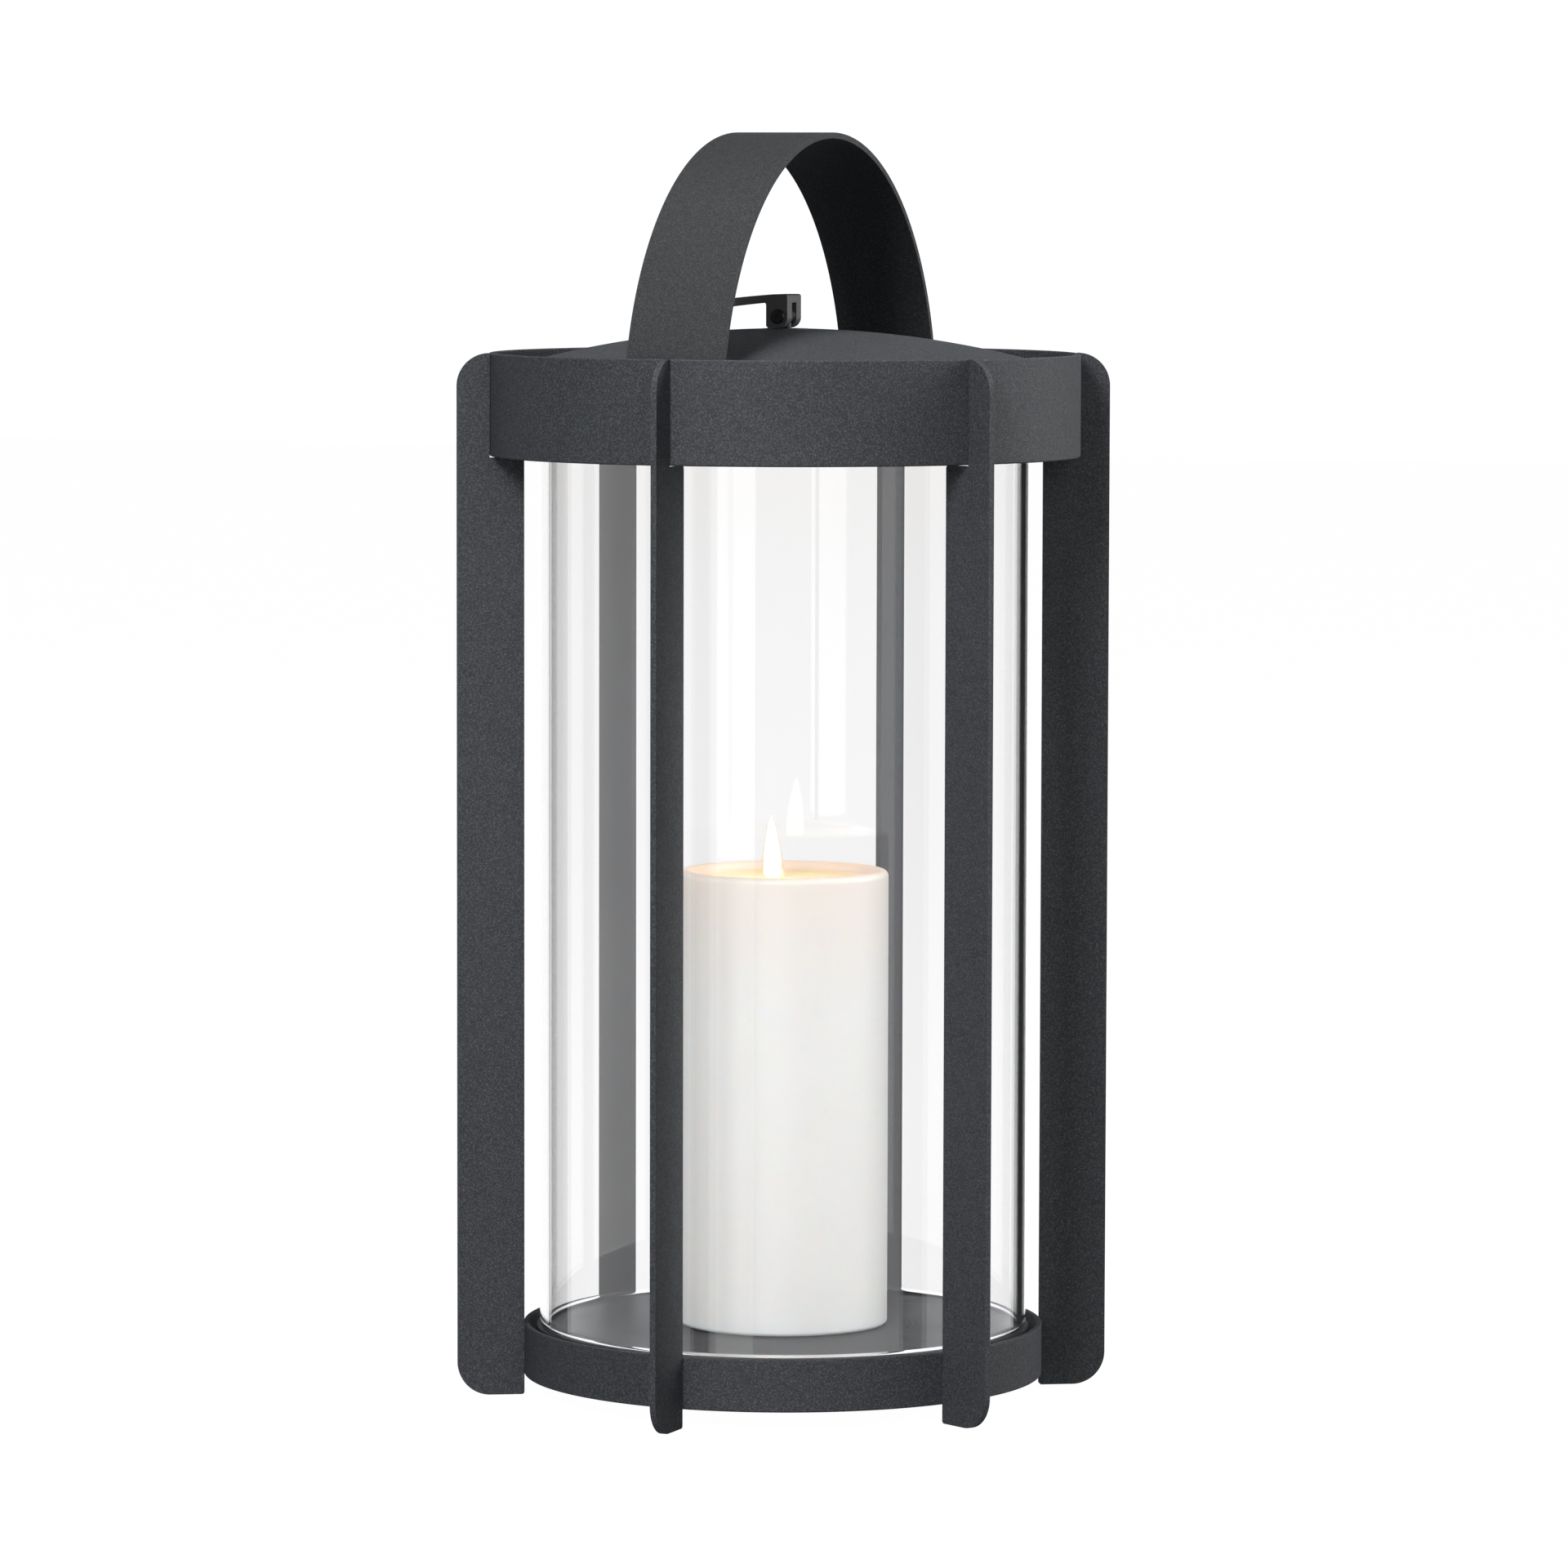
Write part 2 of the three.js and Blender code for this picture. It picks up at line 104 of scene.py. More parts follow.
LID_R = LID_HIGH.x
LID_T = 1.8 * MM
DOME_R = 380 * MM
DOME_TOP = 406.3 * MM
SEAT_R = 9.6 * MM
SEAT_Z = 405.2 * MM
STUD_HOLE_R = 2.9 * MM
NOTCH_HALF = 8.5 * MM
NOTCH_TOP = 389.2 * MM
HANDLE_R = HANDLE_HIGH.y
HANDLE_WIDTH = HANDLE_HIGH.x - HANDLE_LOW.x
HANDLE_ZC = HANDLE_HIGH.z - HANDLE_R
PIN_Z = (PIN_LOW.z + PIN_HIGH.z) / 2
SHANK_R = 1.6 * MM
PIN_HEAD_R = 2.65 * MM
CAM_R = 4.4 * MM
CAM_DROP = 0.7 * MM
BLOCK_BACK = 5.0 * MM
ARM_START = 2 * MM
ARM_REACH = 42.6 * MM
ARM_THICKNESS = 2.8 * MM
SLOT_HALF = 2.25 * MM
LEVER_BORE_R = 1.75 * MM
RIVET_X = 9 * MM
RIVET_Z = 377 * MM
RIVET_HOLE_LID = 2.1 * MM
RIVET_HOLE_HANDLE = 2.05 * MM
LEAN_ANGLE = math.radians(202)
LEAN_DIRECTION = Vector((math.cos(LEAN_ANGLE), math.sin(LEAN_ANGLE), 0))
WICK_LEAN = 3.6 * MM
FLAME_BASE = LEAN_DIRECTION * (4.2 * MM) + Vector((0, 0, POOL_Z + 0.5 * MM))
FLAME_HEIGHT = 23.5 * MM
FLAME_R = 3.5 * MM
VEIL = 0.8 * MM

BACKDROP = 1.08
ROOM_IN_GLASS = 1.35
ZENITH = 0.05
BELOW_HORIZON = 0.30
VIEW_AZIMUTH = math.radians(22.5)
LIGHT_TARGET = Vector((0, 0, 0.25))


# ---------------------------------------------------------------- shader helpers

class Nodes:
    """A node tree, built one node at a time."""

    def __init__(self, tree):
        self.tree = tree

    def new(self, kind, **settings):
        made = self.tree.nodes.new(kind)
        for key, value in settings.items():
            setattr(made, key, value)
        return made

    def link(self, source, target):
        self.tree.links.new(source, target)

    def put(self, target, value):
        if isinstance(value, bpy.types.NodeSocket):
            self.link(value, target)
        else:
            target.default_value = value

    def span(self, value, low, high, to_low=0.0, to_high=1.0, smooth=False):
        """Value carried from the range low..high to the range to_low..to_high, and held at its ends."""
        made = self.new("ShaderNodeMapRange", clamp=True)
        made.interpolation_type = "SMOOTHSTEP" if smooth else "LINEAR"
        self.link(value, made.inputs["Value"])
        made.inputs["From Min"].default_value = low
        made.inputs["From Max"].default_value = high
        made.inputs["To Min"].default_value = to_low
        made.inputs["To Max"].default_value = to_high
        return made.outputs["Result"]

    def blend(self, factor, a, b):
        """A number between a and b."""
        made = self.new("ShaderNodeMix", data_type="FLOAT")
        self.link(factor, made.inputs[0])
        self.put(made.inputs[2], a)
        self.put(made.inputs[3], b)
        return made.outputs[0]


class Shader(Nodes):
    """A node material; its textures sit in the piece's own coordinates."""

    def __init__(self, name):
        self.material = bpy.data.materials.new(name)
        self.material.use_nodes = True
        super().__init__(self.material.node_tree)
        self.tree.nodes.clear()
        self.output = self.new("ShaderNodeOutputMaterial")
        self.position = self.new("ShaderNodeTexCoord").outputs["Object"]

    def noise(self, scale, detail=3.0, roughness=0.5, vector=None):
        made = self.new("ShaderNodeTexNoise")
        self.link(vector or self.position, made.inputs["Vector"])
        made.inputs["Scale"].default_value = scale
        made.inputs["Detail"].default_value = detail
        made.inputs["Roughness"].default_value = roughness
        return made.outputs["Fac"]

    def cells(self, scale):
        """Distance to the middle of the nearest cell."""
        made = self.new("ShaderNodeTexVoronoi")
        self.link(self.position, made.inputs["Vector"])
        made.inputs["Scale"].default_value = scale
        return made.outputs["Distance"]

    def stretch(self, scale):
        made = self.new("ShaderNodeMapping")
        self.link(self.position, made.inputs["Vector"])
        made.inputs["Scale"].default_value = scale
        return made.outputs["Vector"]

    def math(self, operation, a, b=0.0):
        made = self.new("ShaderNodeMath", operation=operation)
        self.put(made.inputs[0], a)
        self.put(made.inputs[1], b)
        return made.outputs[0]

    def mix(self, factor, a, b):
        """A colour between a and b."""
        made = self.new("ShaderNodeMix", data_type="RGBA")
        self.put(made.inputs["Factor"], factor)
        colours = [s for s in made.inputs if s.type == "RGBA"]
        self.put(colours[0], a)
        self.put(colours[1], b)
        return [s for s in made.outputs if s.type == "RGBA"][0]

    def bump(self, height, strength, distance, normal=None):
        made = self.new("ShaderNodeBump")
        self.link(height, made.inputs["Height"])
        made.inputs["Strength"].default_value = strength
        made.inputs["Distance"].default_value = distance
        if normal is not None:
            self.link(normal, made.inputs["Normal"])
        return made.outputs["Normal"]

    def edge(self, radius):
        """1 on convex and concave edges, 0 on open faces."""
        round_off = self.new("ShaderNodeBevel", samples=4)
        round_off.inputs["Radius"].default_value = radius
        flat = self.new("ShaderNodeNewGeometry")
        dot = self.new("ShaderNodeVectorMath", operation="DOT_PRODUCT")
        self.link(round_off.outputs["Normal"], dot.inputs[0])
        self.link(flat.outputs["Normal"], dot.inputs[1])
        bend = self.math("SUBTRACT", 1.0, dot.outputs["Value"])
        return self.span(bend, 0.03, 0.25)

    def axis(self, name):
        made = self.new("ShaderNodeSeparateXYZ")
        self.link(self.position, made.inputs["Vector"])
        return made.outputs[name]

    def distance(self, point):
        made = self.new("ShaderNodeVectorMath", operation="DISTANCE")
        self.link(self.position, made.inputs[0])
        made.inputs[1].default_value = point
        return made.outputs["Value"]

    def principled(self, **values):
        made = self.new("ShaderNodeBsdfPrincipled")
        for key, value in values.items():
            self.put(made.inputs[key.replace("_", " ")], value)
        self.link(made.outputs["BSDF"], self.output.inputs["Surface"])
        return made


def colour(r, g, b):
    return (r, g, b, 1.0)


# ---------------------------------------------------------------- materials

def powder_coat(name="powder_coat", shade=1.0):
    """Fine textured charcoal powder coat: grainy bump, pale flecks, slightly rubbed edges."""
    s = Shader(name)
    grain = s.noise(1500, 4.0, 0.75)
    coarse = s.noise(26, 3.0, 0.55)
    fleck = s.cells(900)
    base = s.mix(
        s.span(coarse, 0.3, 0.7),
        colour(0.0165 * shade, 0.0186 * shade, 0.0222 * shade),
        colour(0.0205 * shade, 0.0229 * shade, 0.0268 * shade),
    )
    speckled = s.mix(
        s.span(grain, 0.46, 0.66),
        base,
        colour(0.068 * shade, 0.073 * shade, 0.080 * shade),
    )
    flecked = s.mix(
        s.span(fleck, 0.26, 0.08, 0.0, 0.6),
        speckled,
        colour(0.13 * shade, 0.137 * shade, 0.145 * shade),
    )
    wear = s.span(s.noise(120, 3.0, 0.6), 0.35, 0.7, 0.05, 0.3)
    rubbed = s.math("MULTIPLY", s.edge(0.5 * MM), wear)
    worn = s.mix(rubbed, flecked, colour(0.12, 0.124, 0.128))
    roughness = s.span(s.noise(420, 3.0, 0.6), 0.25, 0.75, 0.58, 0.72)
    normal = s.bump(grain, 0.55, 0.30 * MM)
    normal = s.bump(coarse, 0.05, 1.2 * MM, normal)
    s.principled(Base_Color=worn, Roughness=roughness, Normal=normal, IOR=1.42)
    return s.material


def base_sheet():
    """The base plate and its brackets: smoother satin coat with turning marks and dust."""
    s = Shader("base_sheet")
    radius = s.distance((0, 0, PLATE_HIGH.z))
    turning = 2600.0
    rings = s.math("SINE", s.math("MULTIPLY", radius, turning))
    cloud = s.noise(38, 4.0, 0.6)
    dust = s.noise(900, 3.0, 0.7)
    base = s.mix(s.span(cloud, 0.3, 0.7), colour(0.016, 0.017, 0.019), colour(0.026, 0.027, 0.030))
    dusty = s.mix(s.span(dust, 0.60, 0.78, 0.0, 0.25), base, colour(0.08, 0.08, 0.083))
    rough = s.math("ADD", s.span(cloud, 0.3, 0.7, 0.40, 0.50), s.math("MULTIPLY", rings, 0.015))
    height = s.math("ADD", s.math("MULTIPLY", rings, 0.35), dust)
    s.principled(
        Base_Color=dusty,
        IOR=1.38,
        Specular_IOR_Level=0.2,
        Roughness=rough,
        Normal=s.bump(height, 0.25, 0.10 * MM),
    )
    return s.material


def ground_steel():
    """Bright ground steel with fine lengthwise scratches."""
    s = Shader("ground_steel")
    scratch = s.noise(500, 3.0, 0.65, s.stretch((0.08, 1.0, 1.0)))
    stain = s.noise(60, 4.0, 0.6)
    base = s.mix(s.span(stain, 0.35, 0.7), colour(0.46, 0.47, 0.48), colour(0.60, 0.60, 0.60))
    s.principled(
        Base_Color=s.mix(s.edge(0.2 * MM), base, colour(0.75, 0.75, 0.74)),
        Metallic=1.0,
        Roughness=s.span(scratch, 0.3, 0.7, 0.22, 0.42),
        Normal=s.bump(scratch, 0.2, 0.05 * MM),
    )
    return s.material


def black_steel():
    """Blackened steel of the lever's pin and stud, rubbed bright on its edges."""
    s = Shader("black_steel")
    stain = s.noise(700, 4.0, 0.6)
    base = s.mix(s.span(stain, 0.3, 0.7), colour(0.020, 0.021, 0.024), colour(0.045, 0.047, 0.050))
    rubbed = s.math("MULTIPLY", s.edge(0.25 * MM), 0.5)
    s.principled(
        Base_Color=s.mix(rubbed, base, colour(0.30, 0.30, 0.30)),
        Metallic=0.8,
        Roughness=s.span(stain, 0.3, 0.7, 0.30, 0.45),
        Normal=s.bump(stain, 0.15, 0.04 * MM),
    )
    return s.material


def black_plastic():
    """Moulded black plastic with a fine spark texture, paler on handled edges."""
    s = Shader("black_plastic")
    spark = s.noise(3200, 3.0, 0.6)
    wear = s.noise(140, 3.0, 0.6)
    base = s.mix(s.span(wear, 0.3, 0.7), colour(0.050, 0.050, 0.052), colour(0.062, 0.062, 0.064))
    handled = s.math("MULTIPLY", s.edge(0.5 * MM), 0.25)
    s.principled(
        Base_Color=s.mix(handled, base, colour(0.075, 0.075, 0.078)),
        Roughness=s.span(wear, 0.3, 0.7, 0.40, 0.55),
        Normal=s.bump(spark, 0.25, 0.08 * MM),
    )
    return s.material


def pad_rubber():
    """Matte rubber with a chalky bloom and mould grain."""
    s = Shader("pad_rubber")
    bloom = s.noise(260, 4.0, 0.65)
    grain = s.noise(2600, 2.0, 0.5)
    chalky = s.mix(s.span(bloom, 0.4, 0.75), colour(0.020, 0.020, 0.021), colour(0.050, 0.049, 0.048))
    s.principled(
        Base_Color=chalky,
        Roughness=s.span(bloom, 0.3, 0.7, 0.75, 0.9),
        Normal=s.bump(grain, 0.3, 0.06 * MM),
    )
    return s.material


def lantern_glass():
    """Clear drawn glass: faint waviness, a slight body tint, a trace of smoke near the top."""
    s = Shader("lantern_glass")
    wave = s.noise(14, 2.0, 0.4, s.stretch((1.0, 1.0, 0.15)))
    haze = s.span(s.axis("Z"), GLASS_HIGH.z - 90 * MM, GLASS_HIGH.z, 0.0, 0.04, smooth=True)
    glass = s.new("ShaderNodeBsdfGlass")
    s.put(glass.inputs["Color"], s.mix(haze, colour(1.0, 1.0, 1.0), colour(0.80, 0.76, 0.70)))
    glass.inputs["Roughness"].default_value = 0.0
    glass.inputs["IOR"].default_value = 1.47
    s.put(glass.inputs["Normal"], s.bump(wave, 0.006, 0.5 * MM))
    clear = s.new("ShaderNodeBsdfTransparent")
    s.put(clear.inputs["Color"], s.mix(haze, colour(0.98, 0.98, 0.98), colour(0.82, 0.79, 0.74)))
    path = s.new("ShaderNodeLightPath")
    passing = s.math("MAXIMUM", path.outputs["Is Shadow Ray"], path.outputs["Is Diffuse Ray"])
    chosen = s.new("ShaderNodeMixShader")
    s.link(passing, chosen.inputs[0])
    s.link(glass.outputs[0], chosen.inputs[1])
    s.link(clear.outputs[0], chosen.inputs[2])
    s.link(chosen.outputs[0], s.output.inputs["Surface"])
    body = s.new("ShaderNodeVolumeAbsorption")
    body.inputs["Color"].default_value = colour(0.52, 0.49, 0.50)
    body.inputs["Density"].default_value = 30.0
    s.link(body.outputs[0], s.output.inputs["Volume"])
    return s.material


def candle_wax():
    """Ivory wax: mottled skin, painted warm flame light toward the rim, a painted peach glow on the
    lip, a painted glow near the flame, a wet melt pool yellowed partly by painted flame light.
    """
    s = Shader("candle_wax")
    mottle = s.noise(42, 4.0, 0.55)
    pores = s.noise(900, 3.0, 0.6)
    base = s.mix(s.span(mottle, 0.3, 0.7), colour(0.90, 0.895, 0.87), colour(0.925, 0.92, 0.90))
    from_flame = s.distance(tuple(FLAME_BASE))
    z = s.axis("Z")
    from_axis = s.distance((0, 0, POOL_Z))
    top = CANDLE_HIGH.z
    on_top = s.span(z, top - 8 * MM, top - 6 * MM)
    pool = s.math("MULTIPLY", s.span(from_axis, 32 * MM, 29 * MM), on_top)
    lip = s.math("MULTIPLY", s.span(from_axis, 40.2 * MM, 37 * MM), on_top)
    # painted light: the top 55 mm of the skin is tinted peach, standing in for the flame's light
    # through the wax
    painted_top_warmth = s.span(z, top - 55 * MM, top - 3 * MM, 0.0, 0.75, smooth=True)
    base = s.mix(painted_top_warmth, base, colour(0.90, 0.83, 0.76))
    # painted light: the rim lip is coloured peach for the flame's light shining through the thin wax
    warm = s.mix(lip, base, colour(0.88, 0.68, 0.54))
    # partly painted light: the melt pool's yellow is the liquid wax's own deeper tone together with
    # painted flame light
    wet = s.mix(pool, warm, colour(0.74, 0.58, 0.20))
    # painted glow: the wax emits warm light in its top 45 mm, near the flame and on the rim lip
    under = s.span(z, top - 45 * MM, top - 4 * MM, 0.0, 0.02, smooth=True)
    near = s.span(from_flame, 40 * MM, 6 * MM, 0.0, 0.09, smooth=True)
    glow_colour = s.mix(pool, colour(1.0, 0.76, 0.60), colour(1.0, 0.74, 0.32))
    glow = s.math("ADD", s.math("ADD", under, near), s.math("MULTIPLY", lip, 0.14))
    skin_roughness = s.span(mottle, 0.3, 0.7, 0.42, 0.55)
    s.principled(
        Base_Color=wet,
        Roughness=s.math("SUBTRACT", skin_roughness, s.math("MULTIPLY", pool, 0.30)),
        Subsurface_Weight=0.35,
        Subsurface_Radius=(0.012, 0.007, 0.004),
        Subsurface_Scale=1.0,
        Emission_Color=glow_colour,
        Emission_Strength=glow,
        Normal=s.bump(pores, 0.06, 0.15 * MM, s.bump(mottle, 0.05, 1.0 * MM)),
        IOR=1.44,
    )
    return s.material


def wick_cotton():
    """Braided cotton with a painted glow at the pool where the flame lights it, charred above it, an
    ember at the tip.
    """
    s = Shader("wick_cotton")
    braid = s.noise(1600, 3.0, 0.6, s.stretch((1.0, 1.0, 0.5)))
    z = s.axis("Z")
    char = s.span(z, POOL_Z + 3.5 * MM, POOL_Z + 5.5 * MM)
    ember = s.span(z, WICK_HIGH.z - 1.6 * MM, WICK_HIGH.z, 0.0, 1.4, smooth=True)
    # painted glow: the wick emits warm light from inside the candle up to 4.5 mm above the pool, for
    # the flame's light on it
    painted_flame_glow = s.span(z, POOL_Z + 4.5 * MM, POOL_Z + 2.5 * MM, 0.0, 0.35)
    cotton = s.mix(braid, colour(0.55, 0.50, 0.42), colour(0.72, 0.68, 0.60))
    burnt = s.mix(braid, colour(0.012, 0.010, 0.009), colour(0.05, 0.04, 0.032))
    s.principled(
        Base_Color=s.mix(char, cotton, burnt),
        Roughness=s.span(braid, 0.3, 0.7, 0.85, 0.98),
        Emission_Color=s.mix(char, colour(1.0, 0.84, 0.50), colour(1.0, 0.28, 0.05)),
        Emission_Strength=s.math("ADD", ember, painted_flame_glow),
        Normal=s.bump(braid, 0.6, 0.15 * MM),
    )
    return s.material


def flame_core():
    """White-hot body of the flame, a little yellower low down, with a faint flicker."""
    s = Shader("flame_core")
    up = s.span(s.axis("Z"), FLAME_BASE.z, FLAME_BASE.z + FLAME_HEIGHT)
    flicker = s.noise(160, 2.0, 0.5)
    heat = s.mix(s.span(up, 0.0, 0.4), colour(1.0, 0.93, 0.72), colour(1.0, 0.97, 0.88))
    emission = s.new("ShaderNodeEmission")
    s.put(emission.inputs["Color"], heat)
    s.put(emission.inputs["Strength"], s.span(flicker, 0.3, 0.7, 3.2, 4.0))
    s.link(emission.outputs[0], s.output.inputs["Surface"])
    return s.material


def flame_mantle():
    """Thin peach veil round the white body, strongest near the wick."""
    s = Shader("flame_mantle")
    up = s.span(s.axis("Z"), FLAME_BASE.z, FLAME_BASE.z + FLAME_HEIGHT)
    curl = s.noise(220, 2.0, 0.5)
    emission = s.new("ShaderNodeEmission")
    s.put(emission.inputs["Color"], s.mix(up, colour(1.0, 0.72, 0.36), colour(1.0, 0.84, 0.64)))
    emission.inputs["Strength"].default_value = 1.0
    clear = s.new("ShaderNodeBsdfTransparent")
    veil = s.math("MULTIPLY", s.span(up, 0.0, 1.0, 0.42, 0.16), s.span(curl, 0.3, 0.7, 0.8, 1.0))
    chosen = s.new("ShaderNodeMixShader")
    s.link(veil, chosen.inputs[0])
    s.link(clear.outputs[0], chosen.inputs[1])
    s.link(emission.outputs[0], chosen.inputs[2])
    s.link(chosen.outputs[0], s.output.inputs["Surface"])
    return s.material


def studio_floor():
    """Near-white studio floor that keeps only a faint contact shadow."""
    s = Shader("studio_floor")
    cloud = s.noise(3, 3.0, 0.5)
    s.principled(
        Base_Color=s.mix(cloud, colour(0.06, 0.06, 0.06), colour(0.08, 0.08, 0.08)),
        Roughness=0.9,
        Specular_IOR_Level=0.0,
        Emission_Color=colour(1.0, 1.0, 1.0),
        Emission_Strength=0.985,
    )
    return s.material


# ---------------------------------------------------------------- mesh helpers

def shade(mesh, sharp_deg):
    """Smooth shading that breaks at corners sharper than sharp_deg."""
    mesh.polygons.foreach_set("use_smooth", [True] * len(mesh.polygons))
    mesh.set_sharp_from_angle(angle=math.radians(sharp_deg))


def mesh_object(name, bm, material, sharp_deg=35.0):
    bmesh.ops.recalc_face_normals(bm, faces=bm.faces)
    mesh = bpy.data.meshes.new(name)
    bm.to_mesh(mesh)
    bm.free()
    obj = bpy.data.objects.new(name, mesh)
    bpy.context.scene.collection.objects.link(obj)
    mesh.materials.append(material)
    shade(mesh, sharp_deg)
    return obj


def soften(obj, width):
    """Rounded edges on a flat-sided piece."""
    bevel = obj.modifiers.new("soft_edges", "BEVEL")
    bevel.width = width
    bevel.segments = 3
    bevel.limit_method = "ANGLE"
    bevel.angle_limit = math.radians(40)
    bevel.harden_normals = True


def arc(cx, cy, r, start, end, steps):
    """Points on an arc, angles in degrees."""
    out = []
    for i in range(steps + 1):
        a = math.radians(start + (end - start) * i / steps)
        out.append((cx + r * math.cos(a), cy + r * math.sin(a)))
    return out


def turned(name, outline, material, segments=192, sharp_deg=35.0):
    """Closed outline of (radius, height) turned about Z; points on the axis become one vertex."""
    bm = bmesh.new()
    rings = []
    for r, z in outline:
        if r == 0:
            rings.append([bm.verts.new((0, 0, z))])
        else:
            ring = []
            for i in range(segments):
                a = 2 * math.pi * i / segments
                ring.append(bm.verts.new((r * math.cos(a), r * math.sin(a), z)))
            rings.append(ring)
    count = len(rings)
    closed = outline[0][0] > 0
    for k in range(count if closed else count - 1):
        a, b = rings[k], rings[(k + 1) % count]
        for i in range(segments):
            j = (i + 1) % segments
            corners = [a[i % len(a)], a[j % len(a)], b[j % len(b)], b[i % len(b)]]
            unique = list(dict.fromkeys(corners))
            if len(unique) > 2:
                bm.faces.new(unique)
    return mesh_object(name, bm, material, sharp_deg)


def slab(name, outline, thickness, basis, material, sharp_deg=35.0):
    """Flat outline extruded by thickness about its own plane, then placed by basis."""
    bm = bmesh.new()
    front = [bm.verts.new((x, y, thickness / 2)) for x, y in outline]
    back = [bm.verts.new((x, y, -thickness / 2)) for x, y in outline]
    bm.faces.new(front)
    bm.faces.new(list(reversed(back)))
    n = len(outline)
    for i in range(n):
        j = (i + 1) % n
        bm.faces.new((front[i], back[i], back[j], front[j]))
    bm.transform(basis)
    return mesh_object(name, bm, material, sharp_deg)


def add_ring(bm, middle, radius, sides):
    """Level circle of vertices."""
    ring = []
    for k in range(sides):
        a = 2 * math.pi * k / sides
        spoke = Vector((radius * math.cos(a), radius * math.sin(a), 0))
        ring.append(bm.verts.new(middle + spoke))
    return ring


def skin(bm, rings):
    """Faces from each ring to the next, and a cap on both ends."""
    sides = len(rings[0])
    for a, b in zip(rings, rings[1:]):
        for k in range(sides):
            m = (k + 1) % sides
            bm.faces.new((a[k], a[m], b[m], b[k]))
    bm.faces.new(list(reversed(rings[0])))
    bm.faces.new(rings[-1])


def rounded_hoop(r_in, r_out, z0, z1, e, steps=4):
    """Ring section, corners rounded by e; a ring beside each corner keeps the walls truly flat."""
    keep = 0.15 * MM
    out = arc(r_out - e, z0 + e, e, -90, 0, steps)
    out += [(r_out, z0 + e + keep), (r_out, z1 - e - keep)]
    out += arc(r_out - e, z1 - e, e, 0, 90, steps)
    out += arc(r_in + e, z1 - e, e, 90, 180, steps)
    out += [(r_in, z1 - e - keep), (r_in, z0 + e + keep)]
    out += arc(r_in + e, z0 + e, e, 180, 270, steps)
    return out


IN_XZ = Matrix(((1, 0, 0, 0), (0, 0, -1, 0), (0, 1, 0, 0), (0, 0, 0, 1)))
IN_YZ = Matrix(((0, 0, 1, 0), (1, 0, 0, 0), (0, 1, 0, 0), (0, 0, 0, 1)))


def dress(obj, body, node):
    """Put a finished piece on its body in place of the CAD node it stands for."""
    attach(obj, body)
    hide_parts(node)


def cut(obj, tool):
    """Subtract tool from obj, then discard the tool."""
    step = obj.modifiers.new("cut", "BOOLEAN")
    step.operation = "DIFFERENCE"
    step.solver = "EXACT"
    step.object = tool
    graph = bpy.context.evaluated_depsgraph_get()
    result = bpy.data.meshes.new_from_object(obj.evaluated_get(graph))
    obj.modifiers.remove(step)
    old = obj.data
    obj.data = result
    bpy.data.meshes.remove(old)
    bpy.data.objects.remove(tool)


def block(name, low, high, material):
    """Box between two corners."""
    bm = bmesh.new()
    bmesh.ops.create_cube(bm, size=1.0)
    size = Vector(high) - Vector(low)
    middle = (Vector(high) + Vector(low)) / 2
    bmesh.ops.scale(bm, vec=size, verts=bm.verts)
    bmesh.ops.translate(bm, vec=middle, verts=bm.verts)
    return mesh_object(name, bm, material)


def cross_bar(name, radius, length, centre, material, segments):
    """Round bar along Y."""
    bm = bmesh.new()
    bmesh.ops.create_cone(
        bm, cap_ends=True, segments=segments, radius1=radius, radius2=radius, depth=length
    )
    turn = Matrix.Rotation(math.radians(90), 4, "X")
    bm.transform(Matrix.Translation(Vector(centre)) @ turn)
    return mesh_object(name, bm, material)


# ---------------------------------------------------------------- pieces

def build_band(node, radius, low, high, coat):
    """Hoop of flat strip between two heights."""
    section = rounded_hoop(radius - BAND_WALL, radius, low, high, BAND_EDGE)
    dress(turned(f"{node}_skin", section, coat), "frame", node)


def build_bands(coat):
    build_band("top_band", TOP_R, TOP_LOW.z, TOP_HIGH.z, coat)
    build_band("bottom_band", BASE_R, BASE_LOW.z, BASE_HIGH.z, coat)


def build_base_plate(sheet):
    """Disc with eased edges; a ring inside each edge keeps its faces flat."""
    e = PLATE_EDGE
    flat_r = PLATE_R - e - 0.2 * MM
    outline = [(0, PLATE_LOW.z), (flat_r, PLATE_LOW.z)]
    outline += arc(PLATE_R - e, PLATE_LOW.z + e, e, -90, 0, 4)
    outline += arc(PLATE_R - e, PLATE_HIGH.z - e, e, 0, 90, 4)
    outline += [(flat_r, PLATE_HIGH.z), (0, PLATE_HIGH.z)]
    plate = turned("base_plate_skin", outline, sheet)
    dress(plate, "frame", "base_plate")


def fin_outline():
    """Upright in radius and height: step under the top band, round outer corners, eased tips."""
    c = FIN_CORNER
    r = FIN_TIP
    step = TOP_R + FIN_GAP
    out = arc(FIN_R_IN + r, r, r, 180, 270, 4)
    out += arc(FIN_R_OUT - c, c, c, -90, 0, 20)
    out += arc(FIN_R_OUT - c, FIN_HIGH.z - c, c, 0, 90, 20)
    out += [(step, FIN_HIGH.z - 0.1 * MM), (step, LEDGE_Z)]
    out += arc(FIN_R_IN + r, LEDGE_Z - r, r, 90, 180, 4)
    return out


def build_uprights(coat):
    for i in range(6):
        spin = Matrix.Rotation(math.radians(30 + 60 * i), 4, "Z")
        fin = slab(f"upright_skin_{i + 1}", fin_outline(), SHEET, spin @ IN_XZ, coat)
        soften(fin, SHEET_EDGE)
        dress(fin, "frame", f"upright_{i + 1}")


def build_glass(glass):
    inner = GLASS_R - GLASS_WALL
    section = rounded_hoop(inner, GLASS_R, GLASS_LOW.z, GLASS_HIGH.z, GLASS_EDGE, 5)
    tube = turned("glass_tube", section, glass, 256, 60.0)
    dress(tube, "glass", "glass_cylinder")


